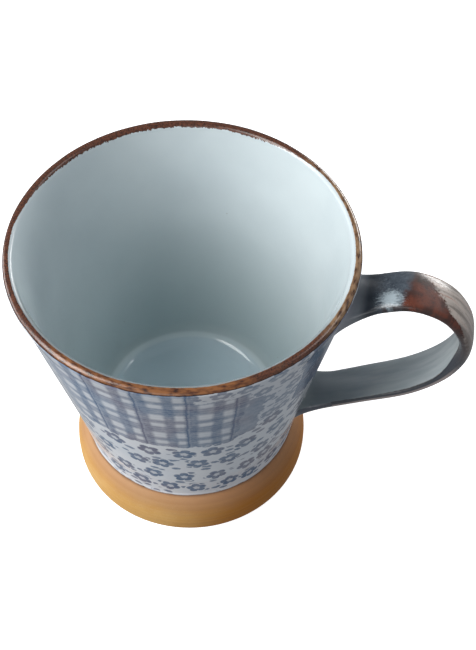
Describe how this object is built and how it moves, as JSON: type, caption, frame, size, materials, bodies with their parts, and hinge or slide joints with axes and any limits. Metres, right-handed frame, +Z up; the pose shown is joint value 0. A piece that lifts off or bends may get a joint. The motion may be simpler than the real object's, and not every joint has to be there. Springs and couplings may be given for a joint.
{
  "type": "mug",
  "caption": "Conical stoneware mug with a strap handle, brown rim, blue-grey printed patchwork glaze and a bare clay foot.",
  "frame": {"origin": "under the centre of the whole mug's box, on the plane the foot stands on; the cup's own axis is at x = -16.3 mm", "axes": "+X from the cup towards the handle, +Z up along the cup's axis"},
  "size_m": [0.1276, 0.095, 0.092],
  "materials": {
    "bare_clay": "matt unglazed stoneware, buff, faint turning lines",
    "foot_clay": "matt unglazed stoneware, buff to orange-brown, faint turning lines",
    "pale_liner_glaze": "glossy pale blue-grey liner glaze with a few dark specks",
    "printed_glaze": "glossy clear glaze over soft blue-grey printed patches on off-white: checked weave and small five-petal flowers",
    "iron_rim_glaze": "glossy iron-brown glaze, mottled, broken lower edge",
    "dark_handle_glaze": "glossy dark slate glaze breaking to rust-brown on edges, with a pale bloom",
    "pale_handle_glaze": "glossy pale blue-grey glaze",
    "root_glaze": "glossy slate-blue glaze"
  },
  "bodies": {
    "root": {"cup_body": "bare_clay", "foot_ring": "foot_clay", "inner_glaze": "pale_liner_glaze", "outer_glaze": "printed_glaze", "rim_glaze": "iron_rim_glaze", "handle_strap": "bare_clay", "handle_outer_glaze": "dark_handle_glaze", "handle_inner_glaze": "pale_handle_glaze", "upper_handle_root": "root_glaze", "lower_handle_root": "root_glaze"}
  },
  "joints": []
}
